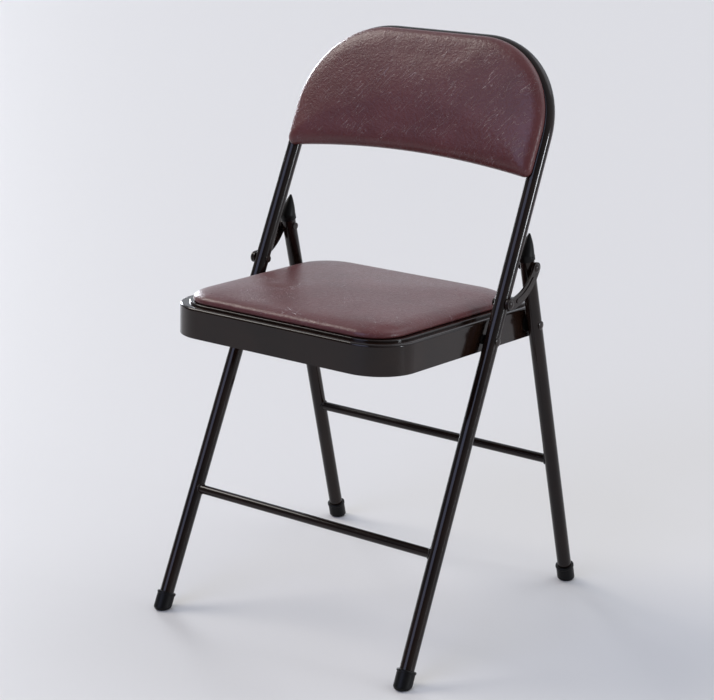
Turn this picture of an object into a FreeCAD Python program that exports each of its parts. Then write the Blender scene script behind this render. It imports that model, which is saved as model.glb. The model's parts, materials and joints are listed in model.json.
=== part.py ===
import FreeCAD, Part
import os
import Sketcher

# Padded folding chair with a tubular steel frame, standing open.
# Millimetres, +Z up, +Y towards the back, origin on the floor in the middle of the footprint.
# Every piece off the middle plane is modelled on the right (+X) and mirrored to the left.

Vector = FreeCAD.Vector

SIZES = {
    # Stance of the two leg frames, all along the legs from the floor
    "foot_spread": 414.1,            # front leg axis to rear leg axis on the floor
    "leg_half_spacing": 208.3,       # leg axis to the middle plane on the floor
    "leg_splay": 0.58,               # degrees that each leg leans inwards going up
    "front_lean": 27.44,             # degrees that the front frame leans back
    "rear_lean": 12.57,              # degrees that the rear legs lean forwards
    "frame_length": 870.7,           # floor to the axis of the top rail
    "bend_radius": 123,              # axis of the two upper bends
    "rear_leg_length": 518.5,        # floor to the upper end of the rear tube
    # Tubes
    "tube_diameter": 20,
    "tube_wall": 1.2,
    "bar_diameter": 13,
    "bar_wall": 1.0,
    "front_bar_height": 177.6,       # along the front leg
    "rear_bar_height": 203.2,        # along the rear leg
    # Moulded feet
    "foot_diameter": 25,
    "foot_length": 25,
    "foot_sole": 8,                  # floor to the end of the tube
    "foot_lip": 0.75,                # how far the upper lip stands out
    "foot_lip_height": 4,
    "foot_edge": 4.5,                # rounding at the floor
    "plastic_gap": 0.15,             # moulded bore to tube
    # Beaked caps on the rear legs
    "cap_diameter": 22.8,
    "cap_collar": 6,                 # end of the tube to the beak
    "cap_plug": 6,                   # depth inside the tube
    "cap_ledge": 0.3,                # collar outside the beak, on the radius
    "beak_lean": 15,                 # degrees that the beak leans back
    "beak_length": 30,
    "beak_tip": 1.2,                 # radius left at the upper end
    "beak_bulge": 100,               # radius of the beak's side
    # Pivots, along the legs
    "front_seat_pivot": 467.4,
    "link_lower_pivot": 519.4,
    "rear_seat_pivot": 420.4,
    "link_upper_pivot": 508.1,
    "rivet_diameter": 6,
    "rivet_gap": 0.05,               # rivet to its hole, on the radius
    "head_diameter": 12,
    "head_height": 2.6,
    "seat_head_height": 1.6,
    "tail_diameter": 10,
    "tail_height": 1.6,
    "inner_head_diameter": 14,
    "side_gap": 0.15,                # flat faces that turn on each other
    "skirt_gap": 0.4,                # collar and rivet to the seat's skirt
    "front_spacer_diameter": 13,
    "rear_spacer_diameter": 24,
    "washer_diameter": 15,
    "link_gap": 1.3,                 # cap to link
    # Slot of the rear seat pivot, from the pivot's place in the seat
    "slot_room": 2.5,                # rivet to the side of the slot
    "slot_radius": "=rivet_diameter / 2 + slot_room",
    "slot_shift": 1.35,
    "slot_bottom": 1.8,
    "slot_top": 7.8,
    # Links
    "link_width": 16,
    "link_thickness": 2.5,
    "link_bow": 10,                  # middle of the link off the line between its pivots
    "rib_width": 6.5,
    "rib_height": 1.2,
    "rib_margin": 13,                # pivot to the end of the rib
    "rib_edge": 0.8,
    # Seat pan, in the plane of the seat
    "seat_front": 3.1,               # front edge behind the front feet
    "seat_height": 414.4,            # floor to the skirt's lower edge at the front
    "seat_tilt": 4.22,               # degrees, down to the rear
    "seat_half_width": 185.5,        # at the front edge
    "seat_flare": 1.1,               # degrees that each side opens to the rear
    "seat_depth": 359,
    "front_corner": 58.7,
    "rear_corner": 30,
    "corner_ease": 0.4,              # how much an inset tightens the corners
    "skirt_height": 41.1,
    "sheet": 1.2,
    "rim_edge": 3.5,
    "ledge": 10,                     # width of the outer ledge
    "step": 3,                       # platform above the ledge
    "step_edge": 1.6,
    # Stiffening plates inside the skirt
    "plate_start": 181,
    "plate_length": 146,
    "plate_bottom": 4,
    "plate_clear": 6.1,              # plate to the upper edge of the skirt
    "plate_height": "=skirt_height - plate_bottom - plate_clear",
    "plate_thickness": 1.5,
    "weld_gap": 0.1,                 # faces that are welded or seated on each other
    # Cushions and their panels
    "board": 6,
    "board_gap": 0.3,
    "pad_front_margin": 13.2,        # edge of the pan to the cushion
    "pad_side_margin": 16.9,
    "pad_rear_margin": 24.7,
    "pad_front_corner": 47.3,
    "pad_rear_corner": 56,
    "seat_board_inset": 5,           # from the pad's edge
    "seat_pad_height": 19,
    "seat_pad_crown": 70,            # edge to the level top
    "back_pad_margin": 3,            # beyond the axis of the hoop
    "back_pad_bottom": 689.7,        # along the front leg, at the ends
    "back_pad_arch": 15,
    "back_pad_corner": 16,
    "back_pad_front": 31,            # from the axis of the hoop
    "back_pad_crown": 42,
    "back_bend_ease": 1.15,          # how much an inset tightens the bends
    "back_board_inset": 6,
    # Tabs and screws
    "tab_width": 18,
    "tab_length": 28,
    "tab_thickness": 2,
    "side_tab_height": 717.7,        # along the front leg
    "top_tab_spacing": 110,
    "tab_screw_reach": 20,           # axis of the hoop to the screw
    "screw_diameter": 4,
    "screw_length": 7,
    "screw_head_diameter": 8,
    "screw_head_height": 2,
    "seat_screw_front": 119,         # in the plane of the seat, from its front edge
    "seat_screw_pitch": 160,
    "seat_screw_half_spacing": 105,
}

doc = FreeCAD.newDocument("folding_chair")
sheet = doc.addObject("Spreadsheet::Sheet", "dims")
for row, (alias, size) in enumerate(SIZES.items(), 1):
    sheet.set(f"A{row}", alias)
    sheet.set(f"B{row}", str(size))
    sheet.setAlias(f"B{row}", alias)
doc.recompute()

NODES = []


def expand(text):
    """Put the sheet's name before each of its aliases in an expression."""
    words = ""
    token = ""
    for letter in text + " ":
        if letter.isalnum() or letter in "_.<>":
            token += letter
            continue
        words += "dims." + token if token in SIZES else token
        words += letter
        token = ""
    return words.strip()


def value(text):
    """The number that an expression has now."""
    return float(sheet.evalExpression(expand(text)))


def bind(target, **expressions):
    """Tie properties of an object to expressions in the sheet's aliases."""
    for name, text in expressions.items():
        target.setExpression(name, expand(text))


def place(target, x="0", y="0", z="0", turn="rotationx(0)"):
    """Tie an object's place and turn to expressions."""
    bind(target, Placement=f"placement(vector({x}; {y}; {z}); {turn})")


def node(target, label):
    """Keep an object as a sub-part of the chair under its own name."""
    target.Label = label
    NODES.append(target)
    return target


def add(kind, name, **settings):
    """A document object with its plain properties set."""
    made = doc.addObject(kind, name)
    for key, setting in settings.items():
        setattr(made, key, setting)
    return made


def mirror(source, name):
    """The left-hand copy of a right-hand piece."""
    return add("Part::Mirroring", name, Source=source, Normal=Vector(1, 0, 0), Base=Vector(0, 0, 0))


def pair(right, label):
    """A node that holds a right-hand piece and its mirror image as two solids."""
    both = add("Part::Compound", label + "_pair", Links=[right, mirror(right, label + "_mirror")])
    return node(both, label)


def left_and_right(right, label):
    """Two nodes, a right-hand piece and its mirror image."""
    node(right, label + "_right")
    node(mirror(right, label + "_mirror"), label + "_left")


# Reference places, as expressions

FOOT_REACH = "foot_diameter / 2 / cos"
FRONT_Y = f"(-(foot_spread + {FOOT_REACH}(rear_lean) - {FOOT_REACH}(front_lean)) / 2)"
REAR_Y = f"({FRONT_Y} + foot_spread)"
SEAT_Y = f"({FRONT_Y} + seat_front)"
TUBE = "(tube_diameter / 2)"


def leg_x(along):
    """Distance of a leg's axis from the middle plane."""
    return f"(leg_half_spacing - ({along}) * tan(leg_splay))"


def front_point(along):
    """Y and Z of a point on the front legs."""
    return f"({FRONT_Y} + ({along}) * sin(front_lean))", f"(({along}) * cos(front_lean))"


def rear_point(along):
    """Y and Z of a point on the rear legs."""
    return f"({REAR_Y} - ({along}) * sin(rear_lean))", f"(({along}) * cos(rear_lean))"


def in_seat(point):
    """A point's distance behind the seat's front edge and above the skirt's lower edge."""
    back, up = f"({point[0]} - {SEAT_Y})", f"({point[1]} - seat_height)"
    return (f"({back} * cos(seat_tilt) - {up} * sin(seat_tilt))",
            f"({back} * sin(seat_tilt) + {up} * cos(seat_tilt))")


def skirt_x(depth):
    """Outer face of the seat's side at a depth behind its front edge."""
    return f"(seat_half_width + ({depth}) * tan(seat_flare))"


FRONT_FRAME = dict(y=FRONT_Y, turn="rotationx(-front_lean)")
REAR_FRAME = dict(y=REAR_Y, turn="rotationx(rear_lean)")
SEAT = dict(y=SEAT_Y, z="seat_height", turn="rotationx(-seat_tilt)")
FRONT_SEAT = front_point("front_seat_pivot")
LINK_LOWER = front_point("link_lower_pivot")
REAR_SEAT = rear_point("rear_seat_pivot")
LINK_UPPER = rear_point("link_upper_pivot")


# Sketches whose every point is tied to the sheet

def sketch_on(body, role, lift="0"):
    """An empty sketch on one of a body's own planes, lifted along the plane's normal."""
    sketch = body.newObject("Sketcher::SketchObject", body.Name + "_sketch")
    plane = next(feature for feature in body.Origin.OriginFeatures if feature.Role == role)
    sketch.AttachmentSupport = (plane, [""])
    sketch.MapMode = "FlatFace"
    sketch.setExpression("AttachmentOffset.Base.z", expand(lift))
    return sketch


def fix(sketch, kind, where, text):
    """Add a dimension to a sketch and tie it to an expression."""
    index = sketch.addConstraint(Sketcher.Constraint(kind, *where, value(text)))
    sketch.renameConstraint(index, f"size{index}")
    sketch.setExpression(f"Constraints.size{index}", expand(text))


def circle(sketch, x, y, radius):
    """A circle."""
    shape = Part.Circle(Vector(value(x), value(y), 0), Vector(0, 0, 1), value(radius))
    index = sketch.addGeometry(shape)
    fix(sketch, "DistanceX", (index, 3), x)
    fix(sketch, "DistanceY", (index, 3), y)
    fix(sketch, "Radius", (index,), radius)


def arc_through(start, end, radius):
    """An arc of under half a circle that bulges to the right of its chord, or to the left below zero."""
    chord = end - start
    side = Vector(chord.y, -chord.x, 0).normalize() * (1 if radius > 0 else -1)
    depth = abs(radius) - (radius ** 2 - chord.Length ** 2 / 4) ** 0.5
    return Part.Arc(start, (start + end) / 2 + side * depth, end)


def outline(sketch, points, closed=True):
    """Lines and arcs through points (x, y, radius): the radius is that of the arc to the next point."""
    corners = [Vector(value(x), value(y), 0) for x, y, bend in points]
    count = len(points) if closed else len(points) - 1
    ends = []
    for index in range(count):
        start, end = corners[index], corners[(index + 1) % len(points)]
        bend = points[index][2]
        if bend is None:
            number = sketch.addGeometry(Part.LineSegment(start, end))
            ends.append((number, 1, 2))
            continue
        number = sketch.addGeometry(arc_through(start, end, value(bend)))
        first = sketch.getPoint(number, 1)
        ends.append((number, 1, 2) if first.distanceToPoint(start) < 1e-4 else (number, 2, 1))
    for index in range(1, count):
        sketch.addConstraint(Sketcher.Constraint("Coincident", *ends[index - 1][::2], *ends[index][:2]))
    if closed:
        sketch.addConstraint(Sketcher.Constraint("Coincident", *ends[-1][::2], *ends[0][:2]))
    spots = [end[:2] for end in ends] + ([] if closed else [ends[-1][::2]])
    for (x, y, bend), spot in zip(points, spots):
        fix(sketch, "DistanceX", spot, x)
        fix(sketch, "DistanceY", spot, y)
    for index in range(count):
        if points[index][2] is not None:
            fix(sketch, "Radius", ends[index][:1], f"abs({points[index][2]})")


def both_sides(half):
    """Points of a shape that is symmetric about its second axis, from its right half, bottom to top."""
    left = [(f"-{x}", y, None) for x, y, bend in reversed(half)]
    bends = [bend for x, y, bend in half]
    for index, bend in enumerate(reversed(bends[:-1])):
        left[index] = left[index][:2] + (bend,)
    left[-1] = left[-1][:2] + (None,)
    return half + left


def new_body(name, **where):
    """An empty body at its place."""
    body = add("PartDesign::Body", name)
    place(body, **where)
    return body


def pad(body, sketch, length, reverse=False):
    """Raise a sketch by a length."""
    feature = body.newObject("PartDesign::Pad", body.Name + "_pad")
    feature.Profile = sketch
    feature.Reversed = reverse
    bind(feature, Length=length)
    return feature


def pocket_through(body, sketch):
    """Cut a sketch through the whole body, both ways."""
    feature = body.newObject("PartDesign::Pocket", body.Name + "_pocket")
    feature.Profile = sketch
    feature.SideType = "Symmetric"
    feature.Type = "ThroughAll"
    return feature


def turned(body, profile):
    """Turn a profile of (radius, height, bend) points once round the body's Z axis."""
    sketch = sketch_on(body, "XZ_Plane")
    outline(sketch, profile)
    feature = body.newObject("PartDesign::Revolution", body.Name + "_turn")
    feature.Profile = sketch
    feature.ReferenceAxis = (sketch, ["V_Axis"])
    return feature


def leg_rod(name, radius, start, end, point, turn):
    """A rod along the axis of a right-hand leg between two heights."""
    rod = add("Part::Cylinder", name)
    bind(rod, Radius=radius, Height=f"(({end}) - ({start})) / cos(leg_splay)")
    y, z = point(start)
    place(rod, x=leg_x(start), y=y, z=z, turn=f"{turn} * rotationy(-leg_splay)")
    return rod


def cross_rod(name, radius, reach, point):
    """A rod along X that reaches as far to the left as to the right."""
    rod = add("Part::Cylinder", name)
    bind(rod, Radius=radius, Height=f"2 * {reach}")
    place(rod, x=f"-{reach}", y=point[0], z=point[1], turn=ALONG_X)
    return rod


def joined(name, shapes):
    """Several solids made one."""
    return add("Part::MultiFuse", name, Shapes=shapes)


def cut(base, tool, name):
    """One solid less another."""
    return add("Part::Cut", name, Base=base, Tool=tool)


ALONG_X = "rotationy(90)"
RIVET_HOLE = "rivet_diameter / 2 + rivet_gap"
SCREW_HOLE = "screw_diameter / 2 + rivet_gap"


# Front frame: one tube bent into an inverted U

LEG_TURN = "(90 - leg_splay)"
BEND_RUN = f"(bend_radius * tan({LEG_TURN} / 2))"
BEND_X = f"({leg_x('frame_length')} - {BEND_RUN})"
BEND_START = f"(frame_length - {BEND_RUN} * cos(leg_splay))"
BORE = f"({TUBE} - tube_wall)"
SEAT_ON_TUBE = f"({TUBE} + weld_gap)"
PAST_LEGS = "(leg_half_spacing + tube_diameter)"


def hoop(name, radius):
    """Two legs, two bends and the top rail as one solid."""
    leg = leg_rod(name + "_leg", radius, "foot_sole", BEND_START, front_point, FRONT_FRAME["turn"])
    bend = add("Part::Torus", name + "_bend")
    bind(bend, Radius1="bend_radius", Radius2=radius, Angle3=LEG_TURN)
    y, z = front_point("frame_length - bend_radius")
    place(bend, x=BEND_X, y=y, z=z, turn=FRONT_FRAME["turn"] + " * rotationx(90) * rotationz(leg_splay)")
    rail = cross_rod(name + "_rail", radius, BEND_X, front_point("frame_length"))
    left = [mirror(piece, piece.Name + "_left") for piece in (leg, bend)]
    return joined(name, [leg, bend, rail] + left)


def pivot_bores(name, points):
    """Rods along X where the rivets pass through the legs."""
    return [cross_rod(f"{name}{number}", RIVET_HOLE, PAST_LEGS, point)
            for number, point in enumerate(points)]


def make_front_frame():
    bores = pivot_bores("front_bore", [FRONT_SEAT, LINK_LOWER])
    inside = joined("hoop_inside", [hoop("hoop_bore", BORE)] + bores)
    node(cut(hoop("hoop_rod", TUBE), inside, "hoop"), "front_frame_tube")


# Rear legs: two straight tubes

def make_rear_legs():
    rods = [leg_rod(name, radius, "foot_sole", "rear_leg_length", rear_point, REAR_FRAME["turn"])
            for name, radius in (("rear_rod", TUBE), ("rear_hole", BORE))]
    bores = pivot_bores("rear_bore", [REAR_SEAT, LINK_UPPER])
    leg = cut(rods[0], joined("rear_inside", [rods[1]] + bores), "rear_tube")
    left_and_right(leg, "rear_leg")


# Crossbars, shaped to the legs at both ends

def make_crossbar(label, height, point, frame):
    reach = leg_x(height)
    rod = cross_rod(label + "_rod", "bar_diameter / 2", reach, point(height))
    bore = cross_rod(label + "_bore", "bar_diameter / 2 - bar_wall", reach, point(height))
    leg = leg_rod(label + "_leg", SEAT_ON_TUBE, f"{height} - tube_diameter", f"{height} + tube_diameter",
                  point, frame["turn"])
    legs = [leg, mirror(leg, label + "_other_leg")]
    node(cut(rod, joined(label + "_ends", [bore] + legs), label + "_tube"), label)


# Moulded feet: cups on the tubes' ends, cut level at the floor

def make_feet(label, frame):
    body = new_body(label + "_cup", x="leg_half_spacing", y=frame["y"],
                    turn=frame["turn"] + " * rotationy(-leg_splay)")
    bore = f"({TUBE} + plastic_gap)"
    outer = "(foot_diameter / 2)"
    lip = f"({outer} + foot_lip)"
    under = "(-foot_length)"
    turned(body, [
        ("0", under, None),
        (outer, under, None),
        (outer, "foot_length - foot_lip_height", None),
        (lip, "foot_length - foot_lip_height + foot_lip", None),
        (lip, "foot_length - foot_lip", None),
        (outer, "foot_length", None),
        (bore, "foot_length", None),
        (bore, "foot_sole", None),
        ("0", "foot_sole", None),
    ])
    floor = add("Part::Box", label + "_floor")
    bind(floor, Length="4 * foot_length", Width="4 * foot_length", Height="2 * foot_length")
    place(floor, x="leg_half_spacing - 2 * foot_length", y=f"{frame['y']} - 2 * foot_length",
          z="-2 * foot_length")
    level = cut(body, floor, label + "_level")
    doc.recompute()
    rounded = add("Part::Fillet", label + "_rounded", Base=level)
    rim = [number for number, edge in enumerate(level.Shape.Edges, 1) if edge.BoundBox.ZMax < 1e-6]
    rounded.Edges = [(number, value("foot_edge"), value("foot_edge")) for number in rim]
    left_and_right(rounded, label)


# Plastic caps on the rear legs: a plug in the tube, a collar on its end and a beak that leans back

def make_rear_caps():
    leg = dict(point=rear_point, turn=REAR_FRAME["turn"])
    seat, shoulder = "(rear_leg_length + plastic_gap)", "(rear_leg_length + cap_collar)"
    collar = leg_rod("cap_collar_rod", "cap_diameter / 2", seat, shoulder, **leg)
    y, z = rear_point(shoulder)
    beak = new_body("cap_beak", x=leg_x(shoulder), y=y, z=z,
                    turn="rotationx(-beak_lean) * rotationy(-leg_splay)")
    wide = "(cap_diameter / 2 - cap_ledge)"
    turned(beak, [
        ("0", f"-{wide}", wide),
        (wide, "0", "beak_bulge"),
        ("beak_tip", "beak_length", None),
        ("0", "beak_length", None),
    ])
    room = leg_rod("cap_room", "cap_diameter", "rear_leg_length - cap_diameter", seat, **leg)
    plug = leg_rod("cap_plug_rod", f"{BORE} - plastic_gap", "rear_leg_length - cap_plug", shoulder, **leg)
    head = cut(joined("cap_head", [collar, beak]), room, "cap_head_level")
    left_and_right(joined("cap_whole", [head, plug]), "rear_cap")


# Links: bowed pressed straps with a raised rib, outside the tubes

LINK_BACK = f"({LINK_UPPER[0]} - {LINK_LOWER[0]})"
LINK_UP = f"({LINK_UPPER[1]} - {LINK_LOWER[1]})"
LINK_LENGTH = f"sqrt({LINK_BACK}^2 + {LINK_UP}^2)"
LINK_SIDE = f"({leg_x('link_lower_pivot')} + cap_diameter / 2 + link_gap)"
LINK_RADIUS = f"((({LINK_LENGTH} / 2)^2 + link_bow^2) / (2 * link_bow))"


def strap(sketch, margin, width):
    """A bowed strip with round ends, whose middle line starts and stops a margin from the two pivots."""
    half = f"({width} / 2)"
    angle = f"(asin({LINK_LENGTH} / 2 / {LINK_RADIUS}) - {margin} / {LINK_RADIUS} * 1 rad)"
    middle_x = f"(link_bow - {LINK_RADIUS})"
    end_x = f"({middle_x} + {LINK_RADIUS} * cos({angle}))"
    low = f"({LINK_LENGTH} / 2 - {LINK_RADIUS} * sin({angle}))"
    high = f"({LINK_LENGTH} / 2 + {LINK_RADIUS} * sin({angle}))"
    side, lean = f"({half} * cos({angle}))", f"({half} * sin({angle}))"
    outline(sketch, [
        (f"({end_x} - {lean})", f"({low} - {side})", half),
        (f"({end_x} + {side})", f"({low} - {lean})", f"({LINK_RADIUS} + {half})"),
        (f"({end_x} + {side})", f"({high} + {lean})", half),
        (f"({end_x} - {lean})", f"({high} + {side})", half),
        (f"({end_x} - {side})", f"({high} - {lean})", f"-({LINK_RADIUS} - {half})"),
        (f"({end_x} - {side})", f"({low} + {lean})", half),
    ])


def make_links():
    turn = f"rotationx(-atan2({LINK_BACK}; {LINK_UP}))"
    body = new_body("link", x=LINK_SIDE, y=LINK_LOWER[0], z=LINK_LOWER[1], turn=turn)
    strip = sketch_on(body, "YZ_Plane")
    strap(strip, "0", "link_width")
    pad(body, strip, "link_thickness")
    rib = sketch_on(body, "YZ_Plane", "link_thickness")
    strap(rib, "(rib_margin + rib_width / 2)", "rib_width")
    raised = pad(body, rib, "rib_height")
    doc.recompute()
    top = max(raised.Shape.Faces, key=lambda face: face.CenterOfMass.x)
    edges = [number for number, edge in enumerate(raised.Shape.Edges, 1)
             if any(edge.isSame(border) for border in top.Edges)]
    soft = body.newObject("PartDesign::Fillet", "link_rib_edge")
    soft.Base = (raised, [f"Edge{number}" for number in edges])
    bind(soft, Radius="rib_edge")
    holes = sketch_on(body, "YZ_Plane")
    for height in ("0", LINK_LENGTH):
        circle(holes, "0", height, RIVET_HOLE)
    pocket_through(body, holes)
    left_and_right(body, "link")


# Rivets, collars and washers: turned pieces along X

def make_rivet(label, point, tail, head, tail_radius, rise):
    """A rivet from the inner face of its tail to the outer face that its domed head sits on."""
    body = new_body(label + "_body", y=point[0], z=point[1], turn=ALONG_X)
    shank = "(rivet_diameter / 2)"
    crown = "(head_diameter / 2)"
    dome = f"(({crown}^2 + {rise}^2) / (2 * {rise}))"
    turned(body, [
        ("0", f"{tail} - tail_height", None),
        (tail_radius, f"{tail} - tail_height", None),
        (tail_radius, tail, None),
        (shank, tail, None),
        (shank, head, None),
        (crown, head, dome),
        ("0", f"{head} + {rise}", None),
    ])
    pair(body, label)


def make_collar(label, point, start, end, radius):
    """A ring round a rivet."""
    body = new_body(label + "_body", y=point[0], z=point[1], turn=ALONG_X)
    turned(body, [(RIVET_HOLE, start, None), (radius, start, None), (radius, end, None),
                  (RIVET_HOLE, end, None)])
    pair(body, label)


def make_seat_pivot(prefix, along, point):
    """Rivet and collar that join a leg to the seat's skirt."""
    depth = in_seat(point)[0]
    axis = leg_x(along)
    inner = f"({skirt_x(depth)} - sheet - plate_thickness - weld_gap - skirt_gap)"
    outer = f"({axis} + {SEAT_ON_TUBE})"
    make_rivet(f"{prefix}_seat_rivets", point, inner, outer, "(inner_head_diameter / 2)",
               "seat_head_height")
    make_collar(f"{prefix}_seat_spacers", point, f"({skirt_x(depth)} + skirt_gap)",
                f"({axis} - {TUBE} - side_gap)", f"{prefix}_spacer_diameter / 2")


def make_link_pivot(prefix, along, point):
    """Rivet and washer that join a leg to a link."""
    axis = leg_x(along)
    face = f"({axis} + {SEAT_ON_TUBE})"
    make_rivet(f"{prefix}_rivets", point, f"({axis} - {SEAT_ON_TUBE})",
               f"({LINK_SIDE} + link_thickness + side_gap)", "(tail_diameter / 2)", "head_height")
    make_collar(f"{prefix}_washers", point, face, f"({LINK_SIDE} - side_gap)", "washer_diameter / 2")


# Seat pan: pressed sheet with a skirt, an outer ledge and a raised platform

EDGE = ("0", "0", "0")
EDGE_CORNERS = ("front_corner", "rear_corner")
PAD_EDGE = ("pad_front_margin", "pad_side_margin", "pad_rear_margin")
PAD_CORNERS = ("pad_front_corner", "pad_rear_corner")


def seat_outline(margins, corners, inset):
    """The seat's plan, wider at the rear, within front, side and rear margins and drawn in by an inset."""
    front, side, back = [f"({margin} + {inset})" for margin in margins]
    rear = f"(seat_depth - {back})"
    width = f"({skirt_x(front)} - {side} / cos(seat_flare))"
    wide = f"({width} + ({rear} - {front}) * tan(seat_flare))"
    small, large = [f"({corner} - {inset} * corner_ease)" for corner in corners]
    run = f"({small} * tan((90 - seat_flare) / 2))"
    turn = f"({large} * tan((90 + seat_flare) / 2))"
    right = [
        (f"({width} - {run})", front, small),
        (f"({width} + {run} * sin(seat_flare))", f"{front} + {run} * cos(seat_flare)", None),
        (f"({wide} - {turn} * sin(seat_flare))", f"{rear} - {turn} * cos(seat_flare)", large),
        (f"({wide} - {turn})", rear, None),
    ]
    return both_sides(right)


PLATFORM = "(skirt_height + step)"


def make_seat_pan():
    body = new_body("seat_pan", **SEAT)
    levels = (("0", "0", "skirt_height", "rim_edge"), ("ledge", "skirt_height", "step", "step_edge"))
    for inset, start, height, rounding in levels:
        plan = sketch_on(body, "XY_Plane", start)
        outline(plan, seat_outline(EDGE, EDGE_CORNERS, inset))
        raised = pad(body, plan, height)
        doc.recompute()
        top = value(f"{start} + {height}")
        edges = [number for number, edge in enumerate(raised.Shape.Edges, 1)
                 if edge.BoundBox.ZMin > top - 1e-6]
        soft = body.newObject("PartDesign::Fillet", body.Name + "_edge")
        soft.Base = (raised, [f"Edge{number}" for number in edges])
        bind(soft, Radius=rounding)
        doc.recompute()
    floor = next(number for number, face in enumerate(soft.Shape.Faces, 1) if face.BoundBox.ZMax < 1e-6)
    hollow = body.newObject("PartDesign::Thickness", "seat_pan_hollow")
    hollow.Base = (soft, [f"Face{floor}"])
    hollow.Reversed = True
    bind(hollow, Value="sheet")
    seat_side_holes(body)
    screws = sketch_on(body, "XY_Plane")
    for x, y in seat_screw_places():
        circle(screws, x, y, SCREW_HOLE)
    pocket_through(body, screws)
    node(body, "seat_pan")


def seat_side_holes(body):
    """Round hole of the front pivot and upright slot of the rear pivot."""
    holes = sketch_on(body, "YZ_Plane")
    circle(holes, *in_seat(FRONT_SEAT), RIVET_HOLE)
    pocket_through(body, holes)
    slot = sketch_on(body, "YZ_Plane")
    back, up = in_seat(REAR_SEAT)
    middle = f"({back} + slot_shift)"
    low, high = f"({up} + slot_bottom)", f"({up} + slot_top)"
    radius = "slot_radius"
    outline(slot, [
        (middle, f"({low} - {radius})", radius),
        (f"({middle} + {radius})", low, None),
        (f"({middle} + {radius})", high, radius),
        (middle, f"({high} + {radius})", radius),
        (f"({middle} - {radius})", high, None),
        (f"({middle} - {radius})", low, radius),
    ])
    pocket_through(body, slot)


def make_seat_plates():
    body = new_body("seat_plate", **SEAT)
    plan = sketch_on(body, "XY_Plane", "plate_bottom")
    face = "(sheet / cos(seat_flare) + weld_gap)"
    start, end = "plate_start", "(plate_start + plate_length)"
    outline(plan, [
        (f"({skirt_x(start)} - {face})", start, None),
        (f"({skirt_x(end)} - {face})", end, None),
        (f"({skirt_x(end)} - {face} - plate_thickness)", end, None),
        (f"({skirt_x(start)} - {face} - plate_thickness)", start, None),
    ])
    pad(body, plan, "plate_height")
    seat_side_holes(body)
    left_and_right(body, "seat_plate")


# Seat cushion on its panel

def seat_screw_places():
    """Four screws in the plane of the seat."""
    rows = ("seat_screw_front", "(seat_screw_front + seat_screw_pitch)")
    return [(f"({side} * seat_screw_half_spacing)", row) for row in rows for side in (1, -1)]


def make_seat_board():
    body = new_body("seat_board", **SEAT)
    plan = sketch_on(body, "XY_Plane", f"{PLATFORM} + weld_gap")
    outline(plan, seat_outline(PAD_EDGE, PAD_CORNERS, "seat_board_inset"))
    pad(body, plan, "board")
    screws = sketch_on(body, "XY_Plane")
    for x, y in seat_screw_places():
        circle(screws, x, y, SCREW_HOLE)
    pocket_through(body, screws)
    node(body, "seat_board")


# Cushion sections from its underside: share of the height, share of the crown that the edge draws in
CUSHION_SECTIONS = ((0, 0.03), (0.12, 0), (0.27, 0.01), (0.42, 0.045), (0.57, 0.1), (0.71, 0.18),
                    (0.84, 0.32), (0.94, 0.56), (1, 1))


def loft(body, role, plans):
    """A smooth solid through outlines given as (lift, points)."""
    sketches = []
    for lift, points in plans:
        section = sketch_on(body, role, lift)
        outline(section, points)
        sketches.append(section)
    feature = body.newObject("PartDesign::AdditiveLoft", body.Name + "_loft")
    feature.Profile = sketches[0]
    feature.Sections = sketches[1:]
    feature.Ruled = True


def make_seat_pad():
    body = new_body("seat_pad_body", **SEAT)
    base = f"({PLATFORM} + board_gap)"
    loft(body, "XY_Plane", [
        (f"{base} + {share} * (seat_pad_height - board_gap)",
         seat_outline(PAD_EDGE, PAD_CORNERS, f"({drawn} * seat_pad_crown)"))
        for share, drawn in CUSHION_SECTIONS])
    room = new_body("seat_pad_room", **SEAT)
    plan = sketch_on(room, "XY_Plane", "0")
    outline(plan, seat_outline(PAD_EDGE, PAD_CORNERS, "(seat_board_inset - board_gap)"))
    pad(room, plan, f"{PLATFORM} + weld_gap + board + board_gap")
    node(cut(body, room, "seat_pad_hollow"), "seat_pad")


# Back cushion on its panel, in front of the hoop

PAD_HALF = f"({leg_x('(frame_length + back_pad_bottom) / 2')} + back_pad_margin)"
PAD_TOP = "(frame_length + back_pad_margin)"


def back_outline(inset):
    """The back cushion's face: the hoop's shape with an arched lower edge, drawn in by an inset."""
    half = f"({PAD_HALF} - {inset})"
    top = f"({PAD_TOP} - {inset})"
    bottom = f"(back_pad_bottom + {inset})"
    bend = f"(bend_radius + back_pad_margin - {inset} * back_bend_ease)"
    corner = "back_pad_corner"
    end = f"({half} - {corner})"
    arch = f"(({end}^2 + back_pad_arch^2) / (2 * back_pad_arch))"
    right = [
        (end, bottom, corner),
        (half, f"({bottom} + {corner})", None),
        (half, f"({top} - {bend})", bend),
        (f"({half} - {bend})", top, None),
    ]
    points = both_sides(right)
    points[-1] = points[-1][:2] + (f"-{arch}",)
    return points


def make_back_board():
    body = new_body("back_board", **FRONT_FRAME)
    face = sketch_on(body, "XZ_Plane", SEAT_ON_TUBE)
    outline(face, back_outline("back_board_inset"))
    pad(body, face, "board")
    screws = sketch_on(body, "XZ_Plane")
    for x, z in back_screw_places():
        circle(screws, x, z, SCREW_HOLE)
    pocket_through(body, screws)
    node(body, "back_board")


def make_back_pad():
    body = new_body("back_pad_body", **FRONT_FRAME)
    base = f"({TUBE} + board_gap)"
    loft(body, "XZ_Plane", [
        (f"{base} + {share} * (back_pad_front - {base})", back_outline(f"({drawn} * back_pad_crown)"))
        for share, drawn in CUSHION_SECTIONS])
    room = new_body("back_pad_room", **FRONT_FRAME)
    face = sketch_on(room, "XZ_Plane", "0")
    outline(face, back_outline("(back_board_inset - board_gap)"))
    pad(room, face, f"{SEAT_ON_TUBE} + board + board_gap")
    node(cut(body, room, "back_pad_hollow"), "back_pad")


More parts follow.
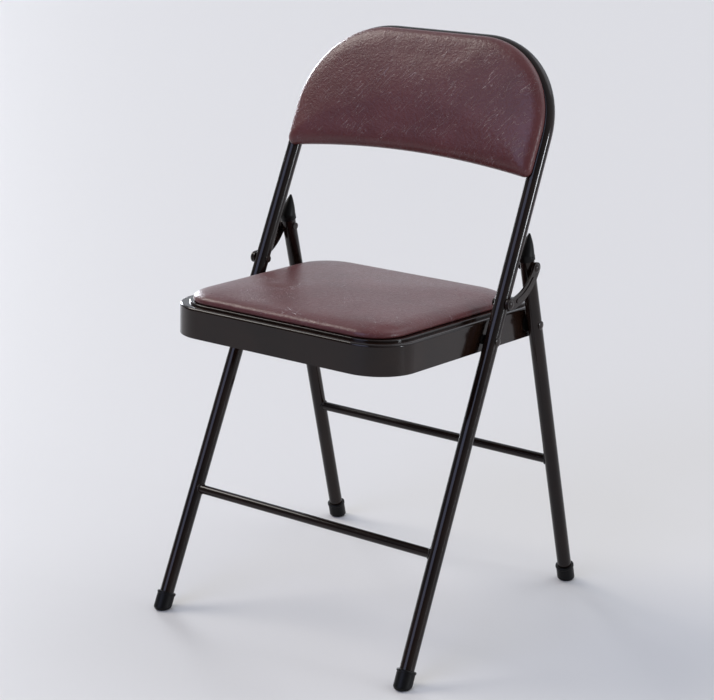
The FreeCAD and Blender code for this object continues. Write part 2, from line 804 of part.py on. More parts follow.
# Tabs welded to the hoop, and the screws through them

SIDE_TAB_X = leg_x("side_tab_height")


def back_screw_places():
    """Two screws beside the legs and two under the top rail."""
    side = (f"({SIDE_TAB_X} - tab_screw_reach)", "side_tab_height")
    top = ("(top_tab_spacing / 2)", "(frame_length - tab_screw_reach)")
    return [place for x, z in (side, top) for place in ((x, z), (f"-{x}", z))]


def make_back_tabs():
    solids = []
    tabs = (("side_tab", f"{SIDE_TAB_X} - tab_length", "side_tab_height - tab_width / 2",
             "tab_length", "tab_width"),
            ("top_tab", "top_tab_spacing / 2 - tab_width / 2", "frame_length - tab_length",
             "tab_width", "tab_length"))
    rail = cross_rod("tab_rail", SEAT_ON_TUBE, "top_tab_spacing", front_point("frame_length"))
    leg = leg_rod("tab_leg", SEAT_ON_TUBE, "front_seat_pivot", "frame_length", front_point,
                  FRONT_FRAME["turn"])
    for (name, x, z, width, height), tube in zip(tabs, (leg, rail)):
        body = new_body(name, **FRONT_FRAME)
        face = sketch_on(body, "XZ_Plane", f"{TUBE} - tab_thickness")
        far, high = f"({x} + {width})", f"({z} + {height})"
        outline(face, [(f"({x})", f"({z})", None), (far, f"({z})", None), (far, high, None),
                       (f"({x})", high, None)])
        pad(body, face, "tab_thickness")
        screws = sketch_on(body, "XZ_Plane")
        for screw in back_screw_places():
            circle(screws, *screw, SCREW_HOLE)
        pocket_through(body, screws)
        right = cut(body, tube, name + "_seat")
        solids += [right, mirror(right, name + "_mirror")]
    node(add("Part::Compound", "tab_group", Links=solids), "back_tabs")


def make_screws(label, role, frame, places, under):
    """Screws with flat heads that face backwards or downwards from a level."""
    solids = []
    for number, (x, y) in enumerate(places):
        body = new_body(f"{label}{number}", **frame)
        for radius, length, reverse in (("screw_head_diameter", "screw_head_height", True),
                                        ("screw_diameter", "screw_length", False)):
            face = sketch_on(body, role, under)
            circle(face, x, y, f"{radius} / 2")
            pad(body, face, length, reverse)
        solids.append(body)
    node(add("Part::Compound", label + "_group", Links=solids), label)


make_front_frame()
make_crossbar("front_crossbar", "front_bar_height", front_point, FRONT_FRAME)
make_feet("front_foot", FRONT_FRAME)
make_rear_legs()
make_crossbar("rear_crossbar", "rear_bar_height", rear_point, REAR_FRAME)
make_feet("rear_foot", REAR_FRAME)
make_rear_caps()
make_links()
make_seat_pivot("front", "front_seat_pivot", FRONT_SEAT)
make_seat_pivot("rear", "rear_seat_pivot", REAR_SEAT)
make_link_pivot("link_lower", "link_lower_pivot", LINK_LOWER)
make_link_pivot("link_upper", "link_upper_pivot", LINK_UPPER)
make_seat_pan()
make_seat_plates()
make_seat_board()
make_seat_pad()
make_screws("seat_screws", "XY_Plane", SEAT, seat_screw_places(), f"{PLATFORM} - sheet")
make_back_board()
make_back_pad()
make_back_tabs()
make_screws("back_screws", "XZ_Plane", FRONT_FRAME, back_screw_places(), f"{TUBE} - tab_thickness")

doc.recompute()
for item in doc.Objects:
    if "Invalid" in item.State or "Error" in item.State:
        raise RuntimeError(f"{item.Name} failed: {item.State}")
for item in NODES:
    if item.Shape.isNull() or not item.Shape.isValid() or not item.Shape.Solids:
        raise RuntimeError(f"{item.Label} has no valid solid")

os.makedirs("parts", exist_ok=True)
for item in NODES:
    item.Shape.exportStep(os.path.join("parts", item.Label + ".step"))
    box = item.Shape.BoundBox
    print(f"{item.Label}: {len(item.Shape.Solids)} solids, {item.Shape.Volume:.0f} mm3, "
          f"x {box.XMin:.1f}..{box.XMax:.1f} y {box.YMin:.1f}..{box.YMax:.1f} "
          f"z {box.ZMin:.1f}..{box.ZMax:.1f}")
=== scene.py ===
"""Looks of the padded folding chair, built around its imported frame. Metres, in the frame's own axes."""
import json
import math

import bpy
import numpy as np
from mathutils import Matrix, Vector


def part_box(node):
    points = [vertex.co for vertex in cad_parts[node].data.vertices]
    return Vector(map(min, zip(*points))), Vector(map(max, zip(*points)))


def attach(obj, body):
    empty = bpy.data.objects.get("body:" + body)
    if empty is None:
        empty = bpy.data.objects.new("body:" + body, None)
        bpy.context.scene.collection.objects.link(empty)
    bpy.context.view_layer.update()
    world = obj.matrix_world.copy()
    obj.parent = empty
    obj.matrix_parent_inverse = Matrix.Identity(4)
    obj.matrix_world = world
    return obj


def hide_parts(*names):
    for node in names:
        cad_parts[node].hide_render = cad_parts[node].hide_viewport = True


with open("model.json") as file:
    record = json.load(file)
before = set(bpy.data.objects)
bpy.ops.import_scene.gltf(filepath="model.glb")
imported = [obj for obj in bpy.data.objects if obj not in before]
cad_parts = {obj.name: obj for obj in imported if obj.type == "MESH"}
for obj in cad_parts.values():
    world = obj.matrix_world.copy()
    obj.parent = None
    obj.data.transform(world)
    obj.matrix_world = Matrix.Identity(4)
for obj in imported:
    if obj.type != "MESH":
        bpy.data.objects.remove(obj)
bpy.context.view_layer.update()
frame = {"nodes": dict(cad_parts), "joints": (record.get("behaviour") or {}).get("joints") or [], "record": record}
MM = 0.001


# Places read from the frame

def coordinates(mesh):
    """The vertices of a mesh as rows."""
    points = np.empty(len(mesh.vertices) * 3, np.float32)
    mesh.vertices.foreach_get("co", points)
    return points.reshape(-1, 3)


def node_points(node):
    """Every vertex of a CAD node, as rows."""
    return coordinates(frame["nodes"][node].data).astype(float)


def joint_place(name):
    """Where a joint's axis crosses the middle plane."""
    return np.array(next(joint for joint in frame["joints"] if joint["name"] == name)["pos_m"], float)


class Plane:
    """The plane of a flat panel: its thin direction is the one in which its points spread least.

    Across runs along X, along runs up or back in the panel, and out points to the side of a given direction.
    Heights count from the face of the panel that lies furthest from the cushion.
    """

    def __init__(self, panel, facing):
        points = node_points(panel)
        thin = np.linalg.svd(points - points.mean(0), full_matrices=False)[2][2]
        self.out = thin * np.sign(thin @ np.array(facing, float))
        self.across = np.array([1.0, 0.0, 0.0])
        self.along = np.cross(self.out, self.across)
        self.origin = points.mean(0) * [0, 1, 1]
        self.origin = self.origin + self.out * self.flat(points)[:, 2].min()

    def flat(self, points):
        """Points of space as (across, along, out)."""
        return (points - self.origin) @ np.stack([self.across, self.along, self.out], 1)

    def solid(self, flat):
        """Points given as (across, along, out), back in space."""
        return self.origin + flat @ np.stack([self.across, self.along, self.out])


# Meshes from grids of points

ARC_POINTS = 20     # of a rounded corner
EDGE_POINTS = 30    # between two corners


def mesh_object(name, points, faces):
    """A smooth-shaded mesh object at the origin."""
    mesh = bpy.data.meshes.new(name)
    mesh.from_pydata(points.tolist(), [], [list(face) for face in faces])
    mesh.polygons.foreach_set("use_smooth", np.ones(len(mesh.polygons), bool))
    mesh.update()
    made = bpy.data.objects.new(name, mesh)
    bpy.context.collection.objects.link(made)
    return made


def grid_faces(rows, columns, wrap_rows=False):
    """Quads between neighbouring rows of a grid whose columns run round and close; rows may close as well."""
    row = np.arange(rows if wrap_rows else rows - 1)[:, None]
    column = np.arange(columns)[None, :]
    after = (row + 1) % rows
    beside = (column + 1) % columns
    corners = [row * columns + column, row * columns + beside,
               after * columns + beside, after * columns + column]
    return np.stack(np.broadcast_arrays(*corners), -1).reshape(-1, 4).tolist()


def closed_object(name, rings):
    """A closed skin through rings of points that start at the lower right corner and run anticlockwise.

    The first and last ring are filled by a ladder, whose rungs join the points above the middle to those below.
    """
    rows, columns = rings.shape[:2]
    step = np.arange(columns // 2)
    upper = (ARC_POINTS + EDGE_POINTS // 2 + step) % columns
    lower = (ARC_POINTS + EDGE_POINTS // 2 - 1 - step) % columns
    ladder = np.stack([lower[:-1], upper[:-1], upper[1:], lower[1:]], -1)
    faces = grid_faces(rows, columns) + ladder[:, ::-1].tolist() + (ladder + (rows - 1) * columns).tolist()
    return mesh_object(name, rings.reshape(-1, 3), faces)


# Materials

def linear(colour):
    """An sRGB hex colour as linear red, green, blue and alpha."""
    levels = [int(colour[at:at + 2], 16) / 255 for at in (1, 3, 5)]
    return tuple(v / 12.92 if v <= 0.04045 else ((v + 0.055) / 1.055) ** 2.4 for v in levels) + (1.0,)


def add(tree, kind, inputs=None, ramp=None, **settings):
    """A node with its settings, its sockets set or linked, and the stops of a colour ramp."""
    made = tree.nodes.new("ShaderNode" + kind)
    for key, setting in settings.items():
        setattr(made, key, setting)
    for key, given in (inputs or {}).items():
        if isinstance(given, bpy.types.NodeSocket):
            tree.links.new(given, made.inputs[key])
        else:
            made.inputs[key].default_value = given
    if ramp:
        stops = made.color_ramp.elements
        while len(stops) < len(ramp):
            stops.new(0.5)
        for stop, (place, colour) in zip(stops, ramp):
            stop.position = place
            stop.color = linear(colour)
    return made


def new_material(name):
    """An empty node material with its shader, its tree and the object's coordinates."""
    material = bpy.data.materials.new(name)
    material.use_nodes = True
    tree = material.node_tree
    shader = tree.nodes["Principled BSDF"]
    place = add(tree, "TexCoord").outputs["Object"]
    return material, tree, shader, place


def per_metre(size_mm):
    """Scale of a pattern whose features are this many millimetres apart."""
    return 1 / (size_mm * MM)


BACK_LEAN = math.radians(27.4)      # of the back cushion from the upright
CREASE_SLANT = math.radians(55)     # of its creases, in its plane
CLOUD_MM, CREASE_MM, PATCH_MM, RUMPLE_MM = 55, 5, 24, 4.5
GRAIN_MM = 1.6                      # a usual grain is nearer 1 mm; drawn coarser, so that it shows
CREASE_STRETCH = 0.14
CREASE_WIDTH = 0.016                # in levels of the noise
# how far a painted highlight lightens the creases towards a pale lilac grey
CREASE_PAINTED_HIGHLIGHT = 0.42


def pvc_leather():
    """Embossed PVC leather cloth, satin, pulled over foam.

    A fine pebble grain, faint cloudy colour, and short creases that lean the same way, where a stretched
    noise crosses its middle value. The creases are bumped, and their pale colour is a painted highlight.
    """
    material, tree, shader, place = new_material("pvc_leather_burgundy")
    cloud = add(tree, "TexNoise", {"Vector": place, "Scale": per_metre(CLOUD_MM), "Detail": 4.0,
                                   "Roughness": 0.6})
    tint = add(tree, "ValToRGB", {"Fac": cloud.outputs["Fac"]}, ramp=[(0.3, "#572B2B"), (0.7, "#623333")])
    upright = add(tree, "Mapping", {"Vector": place, "Rotation": (BACK_LEAN, 0.0, 0.0)})
    slant = add(tree, "Mapping", {"Vector": upright.outputs[0], "Rotation": (0.0, CREASE_SLANT, 0.0)})
    drawn = add(tree, "Mapping", {"Vector": slant.outputs[0], "Scale": (CREASE_STRETCH, 1.0, 1.0)})
    waves = add(tree, "TexNoise", {"Vector": drawn.outputs[0], "Scale": per_metre(CREASE_MM), "Detail": 1.0,
                                   "Roughness": 0.5, "Distortion": 0.35})
    off = add(tree, "Math", {0: waves.outputs["Fac"], 1: 0.5}, operation="SUBTRACT")
    away = add(tree, "Math", {0: off.outputs[0]}, operation="ABSOLUTE")
    line = add(tree, "MapRange", {"Value": away.outputs[0], "From Min": 0.0, "From Max": CREASE_WIDTH,
                                  "To Min": 1.0, "To Max": 0.0})
    patches = add(tree, "TexNoise", {"Vector": place, "Scale": per_metre(PATCH_MM), "Detail": 2.0,
                                     "Roughness": 0.6})
    seldom = add(tree, "MapRange", {"Value": patches.outputs["Fac"], "From Min": 0.45, "From Max": 0.7})
    crease = add(tree, "Math", {0: line.outputs[0], 1: seldom.outputs[0]}, operation="MULTIPLY")
    pebble = add(tree, "TexVoronoi", {"Vector": place, "Scale": per_metre(GRAIN_MM)}, feature="SMOOTH_F1")
    rumple = add(tree, "TexNoise", {"Vector": place, "Scale": per_metre(RUMPLE_MM), "Detail": 3.0,
                                    "Roughness": 0.6})
    # Painted highlight: the creases are mixed towards a pale lilac grey that stands in for the glint along them
    painted_crease_highlight = add(tree, "Math", {0: crease.outputs[0], 1: CREASE_PAINTED_HIGHLIGHT}, operation="MULTIPLY")
    colour = add(tree, "Mix", {0: painted_crease_highlight.outputs[0], 6: tint.outputs["Color"], 7: linear("#AE989C")},
                 data_type="RGBA")
    gloss = add(tree, "MapRange", {"Value": rumple.outputs["Fac"], "To Min": 0.2, "To Max": 0.44})
    grain = add(tree, "Bump", {"Height": pebble.outputs["Distance"], "Strength": 0.35, "Distance": 0.4 * MM})
    dents = add(tree, "Bump", {"Height": rumple.outputs["Fac"], "Strength": 0.5, "Distance": 1.0 * MM,
                               "Normal": grain.outputs[0]})
    folds = add(tree, "Bump", {"Height": crease.outputs[0], "Strength": 0.7, "Distance": 0.6 * MM,
                               "Normal": dents.outputs[0]})
    tree.links.new(colour.outputs[2], shader.inputs["Base Color"])
    tree.links.new(gloss.outputs[0], shader.inputs["Roughness"])
    tree.links.new(folds.outputs[0], shader.inputs["Normal"])
    shader.inputs["Specular IOR Level"].default_value = 0.42
    return material


def stove_enamel(name, deep, warm, roughness, peel_mm, specular):
    """Stoved enamel on steel: dark, wet-looking gloss with a slight orange peel and a little colour drift."""
    material, tree, shader, place = new_material(name)
    drift = add(tree, "TexNoise", {"Vector": place, "Scale": per_metre(45), "Detail": 3.0})
    tint = add(tree, "ValToRGB", {"Fac": drift.outputs["Fac"]}, ramp=[(0.35, deep), (0.7, warm)])
    peel = add(tree, "TexNoise", {"Vector": place, "Scale": per_metre(peel_mm), "Detail": 1.0})
    ripple = add(tree, "Bump", {"Height": peel.outputs["Fac"], "Strength": 0.06, "Distance": 0.2 * MM})
    smear = add(tree, "TexNoise", {"Vector": place, "Scale": per_metre(9), "Detail": 4.0, "Roughness": 0.7})
    gloss = add(tree, "MapRange", {"Value": smear.outputs["Fac"], "To Min": roughness * 0.75,
                                   "To Max": roughness * 1.35})
    tree.links.new(tint.outputs["Color"], shader.inputs["Base Color"])
    tree.links.new(gloss.outputs[0], shader.inputs["Roughness"])
    tree.links.new(ripple.outputs[0], shader.inputs["Normal"])
    shader.inputs["Specular IOR Level"].default_value = specular
    return material


def moulded_plastic(name, deep, pale, roughness):
    """Moulded polythene or turned nylon: matt black with a fine spark-eroded texture and slight scuffs."""
    material, tree, shader, place = new_material(name)
    scuff = add(tree, "TexNoise", {"Vector": place, "Scale": per_metre(7), "Detail": 6.0, "Roughness": 0.7})
    tint = add(tree, "ValToRGB", {"Fac": scuff.outputs["Fac"]}, ramp=[(0.4, deep), (0.75, pale)])
    spark = add(tree, "TexNoise", {"Vector": place, "Scale": per_metre(0.7), "Detail": 2.0})
    texture = add(tree, "Bump", {"Height": spark.outputs["Fac"], "Strength": 0.25, "Distance": 0.1 * MM})
    gloss = add(tree, "MapRange", {"Value": scuff.outputs["Fac"], "To Min": roughness - 0.08,
                                   "To Max": roughness + 0.12})
    tree.links.new(tint.outputs["Color"], shader.inputs["Base Color"])
    tree.links.new(gloss.outputs[0], shader.inputs["Roughness"])
    tree.links.new(texture.outputs[0], shader.inputs["Normal"])
    shader.inputs["Specular IOR Level"].default_value = 0.2
    return material


def painted_hardboard():
    """Hardboard with a thin dark paint: fibres show through as short streaks."""
    material, tree, shader, place = new_material("painted_hardboard")
    stretched = add(tree, "Mapping", {"Vector": place, "Scale": (0.25, 1.0, 1.0)})
    fibre = add(tree, "TexNoise", {"Vector": stretched.outputs[0], "Scale": per_metre(1.6), "Detail": 5.0,
                                   "Roughness": 0.7})
    tint = add(tree, "ValToRGB", {"Fac": fibre.outputs["Fac"]}, ramp=[(0.3, "#1E1817"), (0.7, "#332A27")])
    rough = add(tree, "Bump", {"Height": fibre.outputs["Fac"], "Strength": 0.2, "Distance": 0.15 * MM})
    tree.links.new(tint.outputs["Color"], shader.inputs["Base Color"])
    tree.links.new(rough.outputs[0], shader.inputs["Normal"])
    shader.inputs["Roughness"].default_value = 0.62
    return material


def zinc_plate():
    """Bright zinc plate on steel screws: grey metal with a faint mottled passivation."""
    material, tree, shader, place = new_material("zinc_plated_steel")
    mottle = add(tree, "TexNoise", {"Vector": place, "Scale": per_metre(2), "Detail": 4.0})
    tint = add(tree, "ValToRGB", {"Fac": mottle.outputs["Fac"]}, ramp=[(0.3, "#8E8D88"), (0.7, "#B4B3AE")])
    gloss = add(tree, "MapRange", {"Value": mottle.outputs["Fac"], "To Min": 0.28, "To Max": 0.45})
    tree.links.new(tint.outputs["Color"], shader.inputs["Base Color"])
    tree.links.new(gloss.outputs[0], shader.inputs["Roughness"])
    shader.inputs["Metallic"].default_value = 1.0
    return material


FINISHES = {
    "frame_enamel": stove_enamel("stove_enamel_tube", "#160D0A", "#20140F", 0.12, 2.2, 0.32),
    "pan_enamel": stove_enamel("stove_enamel_pan", "#180E0A", "#22150F", 0.12, 3.5, 0.36),
    "pad_leather": pvc_leather(),
    "panel_board": painted_hardboard(),
    "foot_plastic": moulded_plastic("moulded_polythene", "#050404", "#0C0A0A", 0.4),
    "spacer_plastic": moulded_plastic("turned_nylon", "#0B0A0A", "#171413", 0.4),
    "rivet_enamel": stove_enamel("stove_enamel_rivet", "#1E1511", "#2A1E19", 0.26, 1.6, 0.35),
    "screw_steel": zinc_plate(),
}


def finish_node(made, slot):
    """Give an object one of the finishes in place of what it had."""
    made.data.materials.clear()
    made.data.materials.append(FINISHES[slot])


for part in frame["record"]["subparts"]:
    finish_node(frame["nodes"][part["node"]], part["material_slot"])


# Cushions

def unit(rows):
    """Vectors made one long."""
    return rows / np.linalg.norm(rows, axis=-1, keepdims=True)


def rounded_rings(corners, radii):
    """Outlines with rounded corners: arrays of four corners (anticlockwise) and of their four radii.

    Each corner is an arc that touches both of its sides. Its centre lies on the line that halves the corner,
    its radius over the sine of half the angle away, and an even turn carries the point from side to side.
    """
    to_last = unit(np.roll(corners, 1, axis=1) - corners)
    to_next = unit(np.roll(corners, -1, axis=1) - corners)
    half = np.arccos(np.sum(to_last * to_next, -1))[..., None] / 2
    size = radii[..., None]
    start = corners + to_last * size / np.tan(half)
    end = corners + to_next * size / np.tan(half)
    centre = corners + unit(to_last + to_next) * size / np.sin(half)
    sweep = (math.pi - 2 * half)[:, :, None]
    turn = np.linspace(0, 1, ARC_POINTS)[None, None, :, None]
    spokes = np.sin((1 - turn) * sweep) * (start - centre)[:, :, None]
    spokes = spokes + np.sin(turn * sweep) * (end - centre)[:, :, None]
    arcs = centre[:, :, None] + spokes / np.sin(sweep)
    share = np.linspace(0, 1, EDGE_POINTS + 2)[1:-1][None, None, :, None]
    sides = end[:, :, None] + share * (np.roll(start, -1, axis=1) - end)[:, :, None]
    return np.concatenate([arcs, sides], 2).reshape(len(corners), -1, 2)


FULLNESS = 2.4      # the power n of the rolled edge, where 2 is an ellipse
SIDE_STEPS = 13
TOP_RINGS = 24
LAST_RING = 0.02    # share of the outline that the last ring keeps
BOARD_ROOM = 1.2 * MM
LEAST_RADIUS = 4 * MM


def cushion_profile(pocket, under, widest, roll, edge, crown):
    """Inset, height and shrink of the rings, from the panel's pocket in the underside to the top's middle.

    Below its widest the side is a quarter ellipse. Above, it is a quarter of the curve
    |x / roll| ** n + |z / rise| ** n = 1. On the top the rings shrink to the middle, and the height rises by the
    crown times one less the shrink squared.
    """
    turn = np.linspace(0, math.pi / 2, SIDE_STEPS)
    shrink = np.linspace(1, LAST_RING, TOP_RINGS)[1:]
    inset = np.concatenate([np.repeat(pocket[0], 4), under * (1 - np.sin(turn[::3])),
                            roll * (1 - np.cos(turn[1:]) ** (2 / FULLNESS)), np.full(len(shrink), roll)])
    height = np.concatenate([pocket[1] * np.array([1, 0.9, 0.1, 0]), widest * (1 - np.cos(turn[::3])),
                             widest + (edge - widest) * np.sin(turn[1:]) ** (2 / FULLNESS),
                             edge + crown * (1 - shrink ** 2)])
    return inset, height, np.concatenate([np.ones(len(inset) - len(shrink)), shrink])


class Cushion:
    """A padded piece in the plane of its panel, within the box that its CAD solid takes there."""

    def __init__(self, node, panel, facing, radii, ease, shape, taper=0.0, arch=0.0, drop=0.0):
        self.node, self.radii, self.ease, self.taper, self.arch = node, radii, ease, taper, arch
        self.plane = Plane(panel, facing)
        flat, board = (self.plane.flat(node_points(name)) for name in (node, panel))
        self.low, self.high = flat.min(0) - [0, drop, 0], flat.max(0)
        pocket = (self.high[0] - board[:, 0].max() - BOARD_ROOM,
                  board[:, 2].max() - self.low[2] + BOARD_ROOM)
        self.profile = cushion_profile(pocket, **shape)

    def rings(self):
        """The skin as rings of points in the plane."""
        inset, height, shrink = self.profile
        bottom, top = self.low[1] + inset, self.high[1] - inset
        wide = self.high[0] - inset
        narrow = wide - (top - bottom) * math.tan(self.taper)
        corners = np.stack([np.stack([narrow, bottom], -1), np.stack([wide, top], -1),
                            np.stack([-wide, top], -1), np.stack([-narrow, bottom], -1)], 1)
        radii = np.array(self.radii)[[0, 1, 1, 0]] - inset[:, None] * np.array(self.ease)[[0, 1, 1, 0]]
        outline = rounded_rings(corners, np.maximum(radii, LEAST_RADIUS))
        middle = np.stack([0 * inset, (bottom + top) / 2], -1)[:, None]
        outline = middle + (outline - middle) * shrink[:, None, None]
        rise = np.broadcast_to((self.low[2] + height)[:, None, None], outline.shape[:2] + (1,))
        return self.arched(np.concatenate([outline, rise], -1))

    def arched(self, flat):
        """Lift the lower edge into an arch: a parabola across the width that fades out towards the top."""
        across = flat[..., 0] / self.high[0]
        up = np.clip((flat[..., 1] - self.low[1]) / (self.high[1] - self.low[1]), 0, 1)
        lift = self.arch * (1 - across ** 2) * (1 - up) ** 2
        return np.stack([flat[..., 0], flat[..., 1] + lift, flat[..., 2]], -1)

    def skin(self, name):
        """The cushion's closed mesh in space."""
        return closed_object(name, self.plane.solid(self.rings()))


VOXEL = 5 * MM
HELD = 14 * MM      # height up to which the cover is held
SWELL_CAP = 5 * MM
SWELL_FRAMES = 20
COVER_CLOTH = {"quality": 6, "mass": 0.4, "tension_stiffness": 40, "compression_stiffness": 40,
               "bending_stiffness": 8, "use_pressure": True, "uniform_pressure_force": 0.6}


def even_copy(made):
    """A copy of a piece in even cells, for the simulation."""
    cover = bpy.data.objects.new(made.name + "_cover", made.data.copy())
    bpy.context.collection.objects.link(cover)
    remesh = cover.modifiers.new("even_cells", "REMESH")
    remesh.mode = "VOXEL"
    remesh.voxel_size = VOXEL
    with bpy.context.temp_override(object=cover, active_object=cover, selected_objects=[cover]):
        bpy.ops.object.modifier_apply(modifier=remesh.name)
    return cover


def swell(made, held):
    """Blow the cover up over its foam as cloth under pressure, all but the points that are held on the panel.

    The cloth is an even copy that carries the piece along. Each point then moves by cap * tanh(distance / cap),
    so that none goes further than the cap.
    """
    cover = even_copy(made)
    group = cover.vertex_groups.new(name="held")
    group.add(np.flatnonzero(held(coordinates(cover.data))).tolist(), 1.0, "REPLACE")
    follow = made.modifiers.new("follow", "SURFACE_DEFORM")
    follow.target = cover
    with bpy.context.temp_override(object=made, active_object=made, selected_objects=[made]):
        bpy.ops.object.surfacedeform_bind(modifier=follow.name)
    cloth = cover.modifiers.new("swelling", "CLOTH")
    for key, setting in COVER_CLOTH.items():
        setattr(cloth.settings, key, setting)
    cloth.settings.effector_weights.gravity = 0
    cloth.settings.vertex_group_mass = group.name
    cloth.point_cache.frame_end = SWELL_FRAMES
    for step in range(1, SWELL_FRAMES + 1):
        bpy.context.scene.frame_set(step)
    rest = coordinates(made.data)
    move = coordinates(made.evaluated_get(bpy.context.evaluated_depsgraph_get()).data) - rest
    far = np.linalg.norm(move, axis=1, keepdims=True)
    move = move * SWELL_CAP * np.tanh(far / SWELL_CAP) / np.maximum(far, 1e-9)
    made.modifiers.remove(follow)
    bpy.data.meshes.remove(cover.data)
    bpy.context.scene.frame_set(1)
    made.data.vertices.foreach_set("co", (rest + move).ravel())
    made.data.update()


def make_cushion(name, cushion, body):
    """A cushion that stands for its CAD solid and rides on a body."""
    made = cushion.skin(name)
    swell(made, lambda points: cushion.plane.flat(points)[:, 2] < cushion.low[2] + HELD)
    finer = made.modifiers.new("finer_cells", "SUBSURF")
    finer.levels = finer.render_levels = 1
    finish_node(made, "pad_leather")
    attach(made, body)
    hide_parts(cushion.node)


SEAT_SHAPE = {"under": 2.2 * MM, "widest": 2.5 * MM, "roll": 60 * MM, "edge": 17 * MM, "crown": 1.5 * MM}
BACK_SHAPE = {"under": 1.5 * MM, "widest": 2.5 * MM, "roll": 40 * MM, "edge": 18 * MM, "crown": 1.5 * MM}
SEAT_RADII, SEAT_EASE = (47.3 * MM, 56 * MM), (0.6, 0.6)
BACK_RADII, BACK_EASE = (12 * MM, 126 * MM), (0.3, 1.0)
SEAT_TAPER = math.radians(1.1)
BACK_ARCH, BACK_DROP = 15 * MM, 3.5 * MM
seat = Cushion("seat_pad", "seat_board", (0, 0, 1), SEAT_RADII, SEAT_EASE, SEAT_SHAPE, taper=SEAT_TAPER)
back = Cushion("back_pad", "back_board", (0, -1, 0), BACK_RADII, BACK_EASE, BACK_SHAPE,
               arch=BACK_ARCH, drop=BACK_DROP)
make_cushion("seat_cushion", seat, "seat")
make_cushion("back_cushion", back, "front_frame")


# Weld beads where the crossbars meet the legs

BEAD_RADIUS = 1.7 * MM
BEAD_RIPPLES = 26
RIPPLE_DEPTH = 0.12
BEAD_STEPS, BEAD_SIDES = 96, 12
TUBE_RADIUS = 10 * MM
ACROSS = np.array([1.0, 0.0, 0.0])


def weld_bead(name, bar, leg_way, side):
    """A rippled bead round the end of a crossbar, on the line where its surface meets the leg's.

    Going round the bar, a point of its surface lies m beside the leg's axis. The surfaces meet short of that
    axis, by the square root of the leg's radius squared less m squared.
    """
    low, high = (np.array(corner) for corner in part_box(bar))
    middle, radius = (low + high) / 2, (high[2] - low[2]) / 2
    round_bar = np.linspace(0, 2 * math.pi, BEAD_STEPS, endpoint=False)
    radial = np.stack([0 * round_bar, np.cos(round_bar), np.sin(round_bar)], -1)
    beside = (radius * radial) @ np.cross(leg_way, ACROSS)
    reach = np.sqrt(TUBE_RADIUS ** 2 - beside ** 2)
    tip = np.sqrt(TUBE_RADIUS ** 2 - radius ** 2)
    path = middle + radius * radial
    path[:, 0] = side * (high[0] + tip - reach)
    ring = np.linspace(0, 2 * math.pi, BEAD_SIDES, endpoint=False)
    thick = BEAD_RADIUS * (1 + RIPPLE_DEPTH * np.sin(BEAD_RIPPLES * round_bar))[:, None, None]
    out = np.cos(ring)[None, :, None] * radial[:, None]
    skin = path[:, None] + thick * (out - np.sin(ring)[None, :, None] * ACROSS)
    return mesh_object(name, skin.reshape(-1, 3), grid_faces(len(round_bar), len(ring), wrap_rows=True))


def make_weld_beads():
    """Four beads, on the way of the legs that the joints give."""
    front_way = unit(joint_place("link_left_turn") - joint_place("seat_fold"))
    low, high = (np.array(corner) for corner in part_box("rear_foot_right"))
    rear_way = unit((joint_place("rear_legs_fold") - (low + high) / 2) * [0, 1, 1])
    for end, way, body in (("front", front_way, "front_frame"), ("rear", rear_way, "rear_legs")):
        for label, side in (("left", -1), ("right", 1)):
            bead = weld_bead(f"{end}_weld_{label}", f"{end}_crossbar", way, side)
            finish_node(bead, "frame_enamel")
            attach(bead, body)


make_weld_beads()


# Floor, light and camera

FLOOR_HALF = 120.0


def make_floor():
    """A pale floor, so wide that its far edge stays out of all but the lowest views."""
    material, _, shader, _ = new_material("pale_floor")
    shader.inputs["Base Color"].default_value = linear("#DAD7D5")
    shader.inputs["Roughness"].default_value = 0.55
    corners = FLOOR_HALF * np.array([[-1.0, -1.0, 0.0], [1.0, -1.0, 0.0], [1.0, 1.0, 0.0], [-1.0, 1.0, 0.0]])
    floor = mesh_object("floor", corners, [[0, 1, 2, 3]])
    floor.data.materials.append(material)


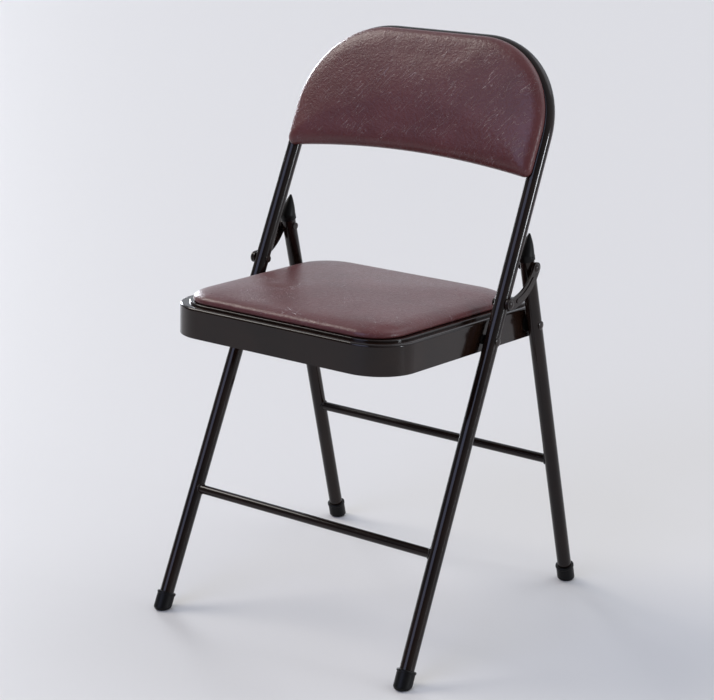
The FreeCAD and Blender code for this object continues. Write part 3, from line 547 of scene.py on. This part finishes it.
def far_light(name, from_way, wide, strength, colour):
    """A soft distant light that fills a wide angle in one direction of the sky."""
    lamp = bpy.data.lights.new(name, "SUN")
    lamp.angle = math.radians(wide)
    lamp.energy = strength
    lamp.color = linear(colour)[:3]
    made = bpy.data.objects.new(name, lamp)
    bpy.context.collection.objects.link(made)
    made.rotation_euler = Vector(from_way).to_track_quat("Z", "Y").to_euler()


def make_light():
    """Windows on both sides, behind and in front, a ceiling, and a sky that is bright at the back."""
    far_light("window", (-0.72, -0.12, 0.68), 26, 1.3, "#FFFAF3")
    far_light("rear_window", (-0.85, 0.5, 0.15), 18, 1.5, "#F4F8FF")
    far_light("right_window", (0.95, 0.2, 0.14), 9, 0.7, "#F4F8FF")
    far_light("front_window", (-0.16, -0.82, 0.55), 40, 0.85, "#CAD4FF")
    far_light("ceiling", (0.32, 0.6, 0.73), 40, 0.4, "#F6F8FF")
    world = bpy.data.worlds.new("studio")
    world.use_nodes = True
    tree = world.node_tree
    way = add(tree, "TexCoord").outputs["Generated"]
    toward = add(tree, "VectorMath", {0: way, 1: (0.1, 0.94, 0.3)}, operation="DOT_PRODUCT")
    strength = add(tree, "MapRange", {"Value": toward.outputs["Value"], "From Min": -0.6, "From Max": 0.9,
                                      "To Min": 0.12, "To Max": 1.0})
    sky = tree.nodes["Background"]
    sky.inputs["Color"].default_value = linear("#E4EAF2")
    tree.links.new(strength.outputs[0], sky.inputs["Strength"])
    bpy.context.scene.world = world


IMAGE_WIDTH = 714
FOCAL_PIXELS = 1933.23
EYE = (1.51146, -2.03507, 1.19236)
YAW, PITCH, ROLL = (math.radians(angle) for angle in (36.802, 18.018, -0.822))


def make_camera():
    """The photograph's view: turned about the vertical, tipped down and rolled a little."""
    lens = bpy.data.cameras.new("photo_view")
    lens.sensor_fit = "HORIZONTAL"
    lens.sensor_width = 36.0
    lens.lens = FOCAL_PIXELS * lens.sensor_width / IMAGE_WIDTH
    camera = bpy.data.objects.new("photo_view", lens)
    bpy.context.collection.objects.link(camera)
    turn = Matrix.Rotation(YAW, 4, "Z") @ Matrix.Rotation(math.pi / 2 - PITCH, 4, "X")
    camera.matrix_world = Matrix.Translation(EYE) @ turn @ Matrix.Rotation(ROLL, 4, "Z")
    bpy.context.scene.camera = camera


make_floor()
make_light()
make_camera()
bpy.context.scene.view_settings.view_transform = "Standard"
